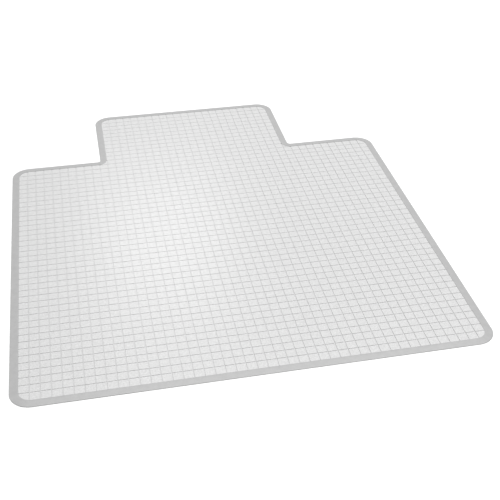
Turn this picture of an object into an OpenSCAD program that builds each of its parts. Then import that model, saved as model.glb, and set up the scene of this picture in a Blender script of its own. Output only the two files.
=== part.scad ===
// Chair mat with a lip: one flat moulding of clear vinyl that lies on the floor under an office
// chair. X runs left to right, Y from the sitter to the desk, Z up. The origin is on the floor,
// at the centre of the mat's box. The lip is the tongue at +Y that reaches under the desk.

/* [Outline] */
// Overall width, left to right
mat_w = 1143; // [900:1:1520]
// Length of the wide body, from the front edge to the shoulders beside the lip
body_l = 1044.7; // [760:0.1:1300]
// Width of the lip
lip_w = 604; // [400:1:720]
// How far the lip stands out past the shoulders
lip_l = 301.3; // [200:0.1:380]
// Radius of the six outer corners
corner_r = 50; // [32:1:80]
// Radius of the two inside corners, where the lip leaves the body
notch_r = 10; // [4:1:30]

/* [Border] */
// Width of the smooth border that runs round the mat
border_w = 20.25; // [12:0.25:28]
// Thickness of the border at its outer edge
edge_t = 1.6; // [1.1:0.1:2]
// Radius that rounds the top of the outer edge
edge_r = 0.8; // [0.3:0.1:0.9]
// Thickness of the border at its inner edge, where its bevel starts
border_t = 2.9; // [2.4:0.1:4.2]

/* [Field] */
// How far the border's inner edge stands above the textured field
rim_h = 0.7; // [0.1:0.1:1.2]

/* [Hidden] */
$fn = 96;
border_grey = [0.76, 0.76, 0.76];
field_grey = [0.9, 0.9, 0.9];

// Edges of the mat along Y
front_y = -(body_l + lip_l) / 2;
shoulder_y = front_y + body_l;
end_y = shoulder_y + lip_l;
// The inside corners end here, and the lip's straight sides start
root_y = shoulder_y + notch_r;

// The textured field, inside the border
field_w = mat_w - 2 * border_w;
field_l = body_l - 2 * border_w;
field_front_y = front_y + border_w;
field_end_y = end_y - border_w;
field_corner_r = corner_r - border_w;
field_t = border_t - rim_h;
// The field narrows to this where it enters the lip, between two flares of this radius
neck_w = lip_w - 2 * border_w;
neck_r = notch_r + border_w;

// Section of the border: its outer edge is at x = 0, and its inner edge at x = border_w
module border_section() {
    polygon([[edge_r, 0], [border_w, 0], [border_w, border_t], [edge_r, edge_t]]);
    square([edge_r, edge_t - edge_r]);
    intersection() {
        translate([edge_r, edge_t - edge_r]) circle(r = edge_r);
        translate([0, edge_t - edge_r]) square([edge_r, edge_r]);
    }
}

// A straight run along +X, with its outer edge on the X axis
module border_run(length) {
    rotate([90, 0, 90]) linear_extrude(height = length) border_section();
}

// A quarter turn round an outer corner, from +X to +Y about the corner's centre
module outer_corner() {
    rotate_extrude(angle = 90) translate([corner_r, 0]) mirror([1, 0]) border_section();
}

// A quarter turn round an inside corner, from -X to -Y about the corner's centre
module inside_corner() {
    rotate([0, 0, 180]) rotate_extrude(angle = 90) translate([notch_r, 0]) border_section();
}

// Border of the body: front, sides, shoulders, and the inside corners beside the lip
module body_border() {
    color(border_grey) {
        translate([corner_r - mat_w / 2, front_y, 0]) border_run(mat_w - 2 * corner_r);
        for (side = [0, 1]) mirror([side, 0, 0]) {
            translate([mat_w / 2 - corner_r, front_y + corner_r, 0]) rotate([0, 0, -90])
                outer_corner();
            translate([mat_w / 2, front_y + corner_r, 0]) rotate([0, 0, 90])
                border_run(body_l - 2 * corner_r);
            translate([mat_w / 2 - corner_r, shoulder_y - corner_r, 0]) outer_corner();
            translate([mat_w / 2 - corner_r, shoulder_y, 0]) rotate([0, 0, 180])
                border_run((mat_w - lip_w) / 2 - corner_r - notch_r);
            translate([lip_w / 2 + notch_r, root_y, 0]) inside_corner();
        }
    }
}

// Border of the lip: its two sides and its end
module lip_border() {
    color(border_grey) {
        translate([lip_w / 2 - corner_r, end_y, 0]) rotate([0, 0, 180])
            border_run(lip_w - 2 * corner_r);
        for (side = [0, 1]) mirror([side, 0, 0]) {
            translate([lip_w / 2, root_y, 0]) rotate([0, 0, 90])
                border_run(lip_l - notch_r - corner_r);
            translate([lip_w / 2 - corner_r, end_y - corner_r, 0]) outer_corner();
        }
    }
}

// Outline of the body's field, with the flared neck that leads into the lip
module body_outline() {
    straight_w = field_w - 2 * field_corner_r;
    straight_l = field_l - 2 * field_corner_r;
    translate([-field_w / 2, field_front_y + field_corner_r]) square([field_w, straight_l]);
    translate([-straight_w / 2, field_front_y]) square([straight_w, field_l]);
    for (x = [-1, 1], y = [0, 1])
        translate([x * straight_w / 2, field_front_y + field_corner_r + y * straight_l])
            circle(r = field_corner_r);
    difference() {
        translate([-neck_w / 2 - neck_r, root_y - neck_r]) square([neck_w + 2 * neck_r, neck_r]);
        for (x = [-1, 1]) translate([x * (neck_w / 2 + neck_r), root_y]) circle(r = neck_r);
    }
}

// Outline of the lip's field, with its two rounded corners
module lip_outline() {
    straight_w = neck_w - 2 * field_corner_r;
    straight_l = field_end_y - field_corner_r - root_y;
    translate([-neck_w / 2, root_y]) square([neck_w, straight_l]);
    translate([-straight_w / 2, root_y]) square([straight_w, straight_l + field_corner_r]);
    for (x = [-1, 1])
        translate([x * straight_w / 2, root_y + straight_l]) circle(r = field_corner_r);
}

// The rolling surface that the chair stands on
module body_panel() {
    color(field_grey) linear_extrude(height = field_t) body_outline();
}

// The same surface, carried on over the lip
module lip_panel() {
    color(field_grey) linear_extrude(height = field_t) lip_outline();
}

body_panel();
lip_panel();
body_border();
lip_border();
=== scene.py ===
import math

import bmesh
import bpy
from mathutils import Matrix, Vector
from mathutils.geometry import delaunay_2d_cdt


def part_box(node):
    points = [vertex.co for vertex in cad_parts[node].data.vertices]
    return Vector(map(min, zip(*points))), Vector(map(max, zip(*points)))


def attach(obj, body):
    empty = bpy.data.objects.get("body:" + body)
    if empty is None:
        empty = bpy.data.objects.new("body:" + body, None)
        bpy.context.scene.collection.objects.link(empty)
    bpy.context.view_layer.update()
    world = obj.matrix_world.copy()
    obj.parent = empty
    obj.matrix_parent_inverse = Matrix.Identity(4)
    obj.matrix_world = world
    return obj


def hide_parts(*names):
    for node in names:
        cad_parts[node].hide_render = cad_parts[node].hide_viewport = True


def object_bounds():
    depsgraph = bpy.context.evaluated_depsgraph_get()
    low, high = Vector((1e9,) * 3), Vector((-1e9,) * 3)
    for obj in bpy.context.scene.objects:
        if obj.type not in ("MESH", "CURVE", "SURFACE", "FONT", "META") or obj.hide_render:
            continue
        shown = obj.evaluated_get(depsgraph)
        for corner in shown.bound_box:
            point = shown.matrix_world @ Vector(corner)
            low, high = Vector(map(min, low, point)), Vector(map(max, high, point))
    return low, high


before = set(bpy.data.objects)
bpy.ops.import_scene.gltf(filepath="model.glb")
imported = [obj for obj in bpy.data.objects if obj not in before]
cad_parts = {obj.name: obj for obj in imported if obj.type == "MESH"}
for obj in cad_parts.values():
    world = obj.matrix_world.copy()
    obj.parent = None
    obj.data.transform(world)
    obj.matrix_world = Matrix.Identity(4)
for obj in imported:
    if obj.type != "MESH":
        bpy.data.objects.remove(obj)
cad_low, cad_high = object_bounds()

# A chair mat of clear vinyl with a lip: a textured field of squares inside a smooth bevelled border.
# Metres, in the frame of the CAD model: +X to the sitter's right, +Y towards the desk, +Z up.

MM = 0.001

# The mat's edges and the field's edges, from the frame
mat_right, mat_front, mat_end = cad_high.x, cad_low.y, cad_high.y
field_low, field_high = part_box("body_panel")
_, lip_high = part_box("lip_border")
field_right, field_front, root_y = field_high.x, field_low.y, field_high.y
border_width = mat_right - field_right
lip_right = lip_high.x
field_end = mat_end - border_width
rim_top, square_top = lip_high.z, field_high.z

# The two radii of the outline
CORNER_RADIUS = 50 * MM
NOTCH_RADIUS = 10 * MM
shoulder_y = root_y - NOTCH_RADIUS

# The grid: 45 squares across the body, and 52 along it and the lip
SQUARES_ACROSS = 45
SQUARES_ALONG = 52
pitch_x = 2 * field_right / SQUARES_ACROSS
pitch_y = (field_end - field_front) / SQUARES_ALONG
rows_in_body = round((shoulder_y - border_width - field_front) / pitch_y)
columns_beside_lip = round(lip_right / pitch_x)
# The channels that run along the mat are wider than those that run across it
ALONG_WIDTH, ACROSS_WIDTH = 2 * MM, 0.7 * MM
CHANNEL_DEPTH = 1 * MM
channel_floor = square_top - CHANNEL_DEPTH
SQUARE_CORNER = 0.6 * MM
# How far a square's wall leans in, and the size of the small round at its top
WALL_DRAFT = 0.04 * MM
TOP_ROUND = 0.12 * MM

# The border's section: the height of its outer edge and the round on top of that edge, how far the
# underside is set in from it, and the round on the inner edge
EDGE_HEIGHT, NOSE_RADIUS = 1.6 * MM, 0.8 * MM
FOOT_INSET = 0.25 * MM
RIM_ROUND = 0.3 * MM

# Steps in each quarter turn of the outline and in the round of the outer edge, strips across the
# bevel, and the usual length of a straight stretch between two vertices
CORNER_STEPS = 18
NOSE_STEPS = 5
BEVEL_STRIPS = 5
STRETCH = 25 * MM


def arc(centre, radius, start, end, steps):
    """Points on an arc, from one angle in degrees to another, both ends included."""
    turns = [math.radians(start + (end - start) * i / steps) for i in range(steps + 1)]
    return [(centre[0] + radius * math.cos(t), centre[1] + radius * math.sin(t)) for t in turns]


def outline(inset):
    """The mat's outline as a closed loop, anticlockwise, moved in from its edge by inset.

    Every loop has the same number of points, so two of them can be joined by quads."""
    corner, notch = CORNER_RADIUS, NOTCH_RADIUS
    near, far, end = mat_front + corner, shoulder_y - corner, mat_end - corner
    side, lip_side, lip_root = mat_right - corner, lip_right - corner, lip_right + notch
    turns = [
        ((side, near), corner - inset, -90, 0),
        ((side, far), corner - inset, 0, 90),
        ((lip_root, root_y), notch + inset, 270, 180),
        ((lip_side, end), corner - inset, 0, 90),
        ((-lip_side, end), corner - inset, 90, 180),
        ((-lip_root, root_y), notch + inset, 0, -90),
        ((-side, far), corner - inset, 90, 180),
        ((-side, near), corner - inset, 180, 270),
    ]
    arcs = [arc(*turn, CORNER_STEPS) for turn in turns]
    centres = [Vector(turn[0]) for turn in turns]
    loop = []
    for i, points in enumerate(arcs):
        following = (i + 1) % len(arcs)
        loop += points
        begin, finish = Vector(points[-1]), Vector(arcs[following][0])
        pieces = max(1, round((centres[i] - centres[following]).length / STRETCH))
        loop += [tuple(begin.lerp(finish, k / pieces)) for k in range(1, pieces)]
    return loop


def finished_object(name, bm, sharp_above):
    """Turns a bmesh into an object with smooth shading, kept sharp at edges over an angle."""
    bmesh.ops.recalc_face_normals(bm, faces=bm.faces)
    mesh = bpy.data.meshes.new(name)
    bm.to_mesh(mesh)
    bm.free()
    mesh.shade_smooth()
    mesh.set_sharp_from_angle(angle=math.radians(sharp_above))
    piece = bpy.data.objects.new(name, mesh)
    bpy.context.scene.collection.objects.link(piece)
    return piece


def border_section():
    """Inset and height of each loop of the border, from the foot of its inner wall round to the top."""
    outer_nose = arc((NOSE_RADIUS, EDGE_HEIGHT - NOSE_RADIUS), NOSE_RADIUS, 180, 90, NOSE_STEPS)
    section = [(border_width, 0), (border_width / 2, 0), (FOOT_INSET, 0), *outer_nose]
    rise = (rim_top - EDGE_HEIGHT) / (border_width - NOSE_RADIUS)
    bevel_end = border_width - RIM_ROUND
    for k in range(1, BEVEL_STRIPS + 1):
        inset = NOSE_RADIUS + (bevel_end - NOSE_RADIUS) * k / BEVEL_STRIPS
        section.append((inset, EDGE_HEIGHT + rise * (inset - NOSE_RADIUS)))
    top = section[-1][1]
    # The inner edge is rounded in two steps
    section += [(border_width - RIM_ROUND / 3, top - RIM_ROUND / 10), (border_width, top - RIM_ROUND)]
    return section


def border():
    """The smooth border: its section is carried all the way round the outline."""
    bm = bmesh.new()
    loops = []
    for inset, height in border_section():
        loops.append([bm.verts.new((x, y, height)) for x, y in outline(inset)])
    count = len(loops[0])
    for ring, following in zip(loops, loops[1:] + loops[:1]):
        for i in range(count):
            j = (i + 1) % count
            bm.faces.new((ring[i], ring[j], following[j], following[i]))
    return finished_object("smooth_border", bm, sharp_above=40)


def square_outline(column, row):
    """One square of the grid, with rounded corners. Where it meets the border there is no channel,
    so that side runs on past the field's edge, to be cut off there."""
    half_x = (pitch_x - ALONG_WIDTH) / 2
    half_y = (pitch_y - ACROSS_WIDTH) / 2
    past = ALONG_WIDTH
    x, y = column * pitch_x, field_front + (row + 0.5) * pitch_y
    right = left = half_x
    near = far = half_y
    last_column = SQUARES_ACROSS // 2 if row < rows_in_body else columns_beside_lip - 1
    if abs(column) == last_column and row != rows_in_body:
        right += past if column > 0 else 0
        left += past if column < 0 else 0
    if row == 0:
        near += past
    if row == SQUARES_ALONG - 1 or (row == rows_in_body - 1 and abs(column) > columns_beside_lip):
        far += past
    r = SQUARE_CORNER
    corners = (
        ((x + right - r, y - near + r), -90),
        ((x + right - r, y + far - r), 0),
        ((x - left + r, y + far - r), 90),
        ((x - left + r, y - near + r), 180),
    )
    return [point for centre, start in corners for point in arc(centre, r, start, start + 90, 2)]


def squares():
    """Outlines of all the squares: the full width in the body, then the lip's width, with one more
    on each side in the flare where the lip begins."""
    found = []
    for row in range(SQUARES_ALONG):
        if row < rows_in_body:
            reach = SQUARES_ACROSS // 2
        else:
            reach = columns_beside_lip if row == rows_in_body else columns_beside_lip - 1
        found += [square_outline(column, row) for column in range(-reach, reach + 1)]
    return found


def boundary_loops(triangles):
    """The closed loops of vertex numbers round a set of triangles, in the triangles' own direction."""
    edges = {(t[i], t[(i + 1) % 3]) for t in triangles for i in range(3)}
    following = {a: b for a, b in edges if (b, a) not in edges}
    loops = []
    while following:
        start, step = following.popitem()
        loop = [start]
        while step != start:
            loop.append(step)
            step = following.pop(step)
        loops.append(loop)
    return loops


def inset_loop(points, distance):
    """A loop moved in by distance: each corner goes along its own bisector, and no sharp corner goes
    more than twice as far."""
    moved = []
    for i, here in enumerate(points):
        before, after = points[i - 1], points[(i + 1) % len(points)]
        first, second = (here - before).normalized(), (after - here).normalized()
        inward = Vector((-first.y, first.x)) + Vector((-second.y, second.x))
        moved.append(here + inward * (distance * 2 / max(inward.length_squared, 1.0)))
    return moved


def field():
    """The textured field in one piece: raised squares, and the channel floor that joins them."""
    edge, loops = outline(border_width), squares()
    scale = 1 / MM  # the triangulation works in millimetres, to keep its tolerance small
    points = [Vector(p) * scale for loop in [edge, *loops] for p in loop]
    faces, start = [], 0
    for loop in [edge, *loops]:
        faces.append(list(range(start, start + len(loop))))
        start += len(loop)
    # Triangles inside any face are kept, each with the numbers of the faces it lies in
    inside_faces, tolerance = 1, 1e-4
    flat, _, triangles, _, _, sources = delaunay_2d_cdt(
        points, [], faces, inside_faces, tolerance, True
    )
    inside = [(t, s) for t, s in zip(triangles, sources) if 0 in s]
    of_square = {}
    for triangle, source in inside:
        numbers = [s for s in source if s > 0]
        if numbers:
            of_square.setdefault(numbers[0], []).append(triangle)

    bm = bmesh.new()
    flat = [v * MM for v in flat]
    used = sorted({v for t, _ in inside for v in t})
    bottom = {v: bm.verts.new((*flat[v], channel_floor)) for v in used}
    for triangle, source in inside:
        if max(source) == 0:
            bm.faces.new([bottom[v] for v in triangle])
    # Each square stands up from the floor on a drafted wall and a small round edge
    steps = ((WALL_DRAFT, square_top - TOP_ROUND), (WALL_DRAFT + TOP_ROUND, square_top))
    for parts in of_square.values():
        for loop in boundary_loops(parts):
            ring = [bottom[v] for v in loop]
            for distance, height in steps:
                moved = inset_loop([flat[v] for v in loop], distance)
                upper = [bm.verts.new((*p, height)) for p in moved]
                for i in range(len(ring)):
                    j = (i + 1) % len(ring)
                    bm.faces.new((ring[i], ring[j], upper[j], upper[i]))
                ring = upper
            bm.faces.new(ring)
    # The sides and the flat underside
    (around,) = boundary_loops([t for t, _ in inside])
    foot = [bm.verts.new((*flat[v], 0)) for v in around]
    for i in range(len(around)):
        j = (i + 1) % len(around)
        bm.faces.new((bottom[around[j]], bottom[around[i]], foot[i], foot[j]))
    bm.faces.new(foot[::-1])
    return finished_object("textured_field", bm, sharp_above=25)


# ---- materials ----


def linear(hex_colour):
    """An sRGB hex colour, such as "E6E6E6", as linear red, green, blue and alpha."""
    parts = [int(hex_colour[i : i + 2], 16) / 255 for i in (0, 2, 4)]
    return [p / 12.92 if p <= 0.04045 else ((p + 0.055) / 1.055) ** 2.4 for p in parts] + [1.0]


def add(tree, kind, inputs=None, **settings):
    """Adds one node, with its settings by name and its inputs by name or number: a value or a link."""
    made = tree.nodes.new(kind)
    for name, value in settings.items():
        setattr(made, name, value)
    for key, value in (inputs or {}).items():
        if isinstance(value, bpy.types.NodeSocket):
            tree.links.new(value, made.inputs[key])
        else:
            made.inputs[key].default_value = value
    return made


def new_material(name):
    """A material with only its shader yet. Returns it, its node tree, the shader and coordinates."""
    material = bpy.data.materials.new(name)
    material.use_nodes = True
    tree = material.node_tree
    tree.nodes.clear()
    shader = add(tree, "ShaderNodeBsdfPrincipled")
    add(tree, "ShaderNodeOutputMaterial", {"Surface": shader.outputs[0]})
    return material, tree, shader, add(tree, "ShaderNodeTexCoord")


# Plasticised PVC
VINYL_IOR = 1.53
# A face is a wall of the sheet, coloured with painted shade, where the height of its normal is
# under the first of these, and a top where it is over the second
WALL_NORMAL, TOP_NORMAL = 0.35, 0.75
# The mix node's sockets for colours
FIRST, SECOND, MIXED = 6, 7, 2


def vinyl_with_painted_wall_shade(tree, coordinates, painted_wall_shade_colour, top_colour):
    """The colour of clear vinyl by the slope of its surface, with painted shade on the walls: a wall
    is coloured darker than a top, standing in for the dark look of clear plastic seen edge on."""
    normal = add(tree, "ShaderNodeSeparateXYZ", {0: coordinates.outputs["Normal"]})
    steepness = add(tree, "ShaderNodeMath", {0: normal.outputs["Z"]}, operation="ABSOLUTE")
    top = add(
        tree,
        "ShaderNodeMapRange",
        {"Value": steepness.outputs[0], "From Min": WALL_NORMAL, "From Max": TOP_NORMAL},
    )
    colour = add(
        tree,
        "ShaderNodeMix",
        {0: top.outputs[0], FIRST: painted_wall_shade_colour, SECOND: top_colour},
        data_type="RGBA",
    )
    return colour.outputs[MIXED]


def frosted_vinyl():
    """Clear vinyl with an embossed stipple: it scatters light, so the tops of the squares look pale
    and matt. The channel floor is painted a little lighter than the squares: painted light for the
    floor's white showing through the thinner sheet there. The walls get painted shade."""
    material, tree, shader, coordinates = new_material("frosted_clear_vinyl")
    place = coordinates.outputs["Object"]
    # The real stipple has grains of about 0.8 mm. The cloudiness in it is drawn at 3 mm, or it
    # wouldn't show.
    grain = add(tree, "ShaderNodeTexNoise", {"Vector": place, "Scale": 1 / (0.8 * MM), "Detail": 2})
    cloud = add(tree, "ShaderNodeTexNoise", {"Vector": place, "Scale": 1 / (3 * MM), "Detail": 4})
    stipple = add(
        tree,
        "ShaderNodeMix",
        {0: cloud.outputs[0], FIRST: linear("B1B1B1"), SECOND: linear("EBEBEB")},
        data_type="RGBA",
    )
    height = add(tree, "ShaderNodeSeparateXYZ", {0: place}).outputs["Z"]
    on_square = add(
        tree,
        "ShaderNodeMapRange",
        {"Value": height, "From Min": channel_floor, "From Max": square_top},
    ).outputs[0]
    # The channel floor is painted a little lighter (D3D3D3): painted light for the floor's white
    # showing through the thinner sheet
    tops = add(
        tree,
        "ShaderNodeMix",
        {0: on_square, FIRST: linear("D3D3D3"), SECOND: stipple.outputs[MIXED]},
        data_type="RGBA",
    )
    # The walls of the squares are painted dark grey (3C3C3C): painted shade that draws the grid lines
    colour = vinyl_with_painted_wall_shade(tree, coordinates, linear("3C3C3C"), tops.outputs[MIXED])
    tree.links.new(colour, shader.inputs["Base Color"])
    relief = add(
        tree, "ShaderNodeMath", {0: grain.outputs[0], 1: on_square}, operation="MULTIPLY"
    ).outputs[0]
    bump = add(
        tree, "ShaderNodeBump", {"Strength": 0.5, "Distance": 0.06 * MM, "Height": relief}
    )
    tree.links.new(bump.outputs[0], shader.inputs["Normal"])
    shader.inputs["Roughness"].default_value = 0.32
    shader.inputs["IOR"].default_value = VINYL_IOR
    return material


def smooth_vinyl():
    """Clear vinyl pressed smooth: no stipple scatters the light, so it looks grey, with a soft shine
    that varies a little where it has been rubbed."""
    material, tree, shader, coordinates = new_material("smooth_clear_vinyl")
    place = coordinates.outputs["Object"]
    cloud = add(tree, "ShaderNodeTexNoise", {"Vector": place, "Scale": 1 / (14 * MM), "Detail": 3})
    tone = add(
        tree,
        "ShaderNodeMix",
        {0: cloud.outputs[0], FIRST: linear("A9A9A9"), SECOND: linear("B7B7B7")},
        data_type="RGBA",
    )
    # The border's steep inner and outer edges are painted darker (8E8E8E) than its top: painted shade
    colour = vinyl_with_painted_wall_shade(tree, coordinates, linear("8E8E8E"), tone.outputs[MIXED])
    tree.links.new(colour, shader.inputs["Base Color"])
    rubbed = add(tree, "ShaderNodeTexNoise", {"Vector": place, "Scale": 1 / (5 * MM), "Detail": 4})
    shine = add(
        tree, "ShaderNodeMapRange", {"Value": rubbed.outputs[0], "To Min": 0.24, "To Max": 0.36}
    )
    tree.links.new(shine.outputs[0], shader.inputs["Roughness"])
    shader.inputs["IOR"].default_value = VINYL_IOR
    return material


# ---- floor, light and camera ----


def floor():
    """A square floor that reaches well past the view."""
    bm = bmesh.new()
    half = 20
    corners = ((-half, -half), (half, -half), (half, half), (-half, half))
    bm.faces.new([bm.verts.new((x, y, 0)) for x, y in corners])
    piece = finished_object("floor", bm, sharp_above=30)
    # Plain white and fully matt, so that no lamp is mirrored in it
    material, _, shader, _ = new_material("pale_floor")
    shader.inputs["Base Color"].default_value = linear("FFFFFF")
    shader.inputs["Specular IOR Level"].default_value = 0
    piece.data.materials.append(material)


def softbox(name, place, target, width, height, power):
    """A flat rectangular light that faces its target, with its power in watts."""
    light = bpy.data.lights.new(name, "AREA")
    light.shape = "RECTANGLE"
    light.size, light.size_y, light.energy = width, height, power
    lamp = bpy.data.objects.new(name, light)
    lamp.location = place
    lamp.rotation_euler = (Vector(target) - Vector(place)).to_track_quat("-Z", "Y").to_euler()
    bpy.context.scene.collection.objects.link(lamp)


def studio():
    """Soft light from all round and from overhead, and a small light behind the mat, whose reflection
    makes the pale patch on the squares, left of the middle."""
    world = bpy.data.worlds.new("studio")
    world.use_nodes = True
    background = world.node_tree.nodes["Background"]
    background.inputs["Color"].default_value = linear("FFFFFF")
    background.inputs["Strength"].default_value = 0.4
    bpy.context.scene.world = world
    bpy.context.scene.view_settings.view_transform = "Standard"
    softbox("overhead", (0.8, 0.1, 4.1), (0.8, 0.1, 0), width=4, height=5, power=194)
    softbox("back_light", (0.05, 2.5, 1.9), (-0.18, -0.05, 0), width=0.8, height=0.6, power=8)


def camera():
    """The camera stands in front of the mat, a little to the left, and looks down on it."""
    data = bpy.data.cameras.new("camera")
    data.lens, data.sensor_width = 65.3, 36
    eye = bpy.data.objects.new("camera", data)
    heading, down, roll = math.radians(11.616), math.radians(35.402), math.radians(0.164)
    turn = Matrix.Rotation(-heading, 4, "Z") @ Matrix.Rotation(math.pi / 2 - down, 4, "X")
    turn = turn @ Matrix.Rotation(roll, 4, "Z")
    place = (-0.341, mat_front - 1.4804, 1.4273)
    eye.matrix_world = Matrix.Translation(place) @ turn
    bpy.context.scene.collection.objects.link(eye)
    bpy.context.scene.camera = eye


camera()
studio()
floor()

mat_field = field()
mat_field.data.materials.append(frosted_vinyl())
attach(mat_field, "root")
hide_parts("body_panel", "lip_panel")

mat_border = border()
mat_border.data.materials.append(smooth_vinyl())
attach(mat_border, "root")
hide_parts("body_border", "lip_border")
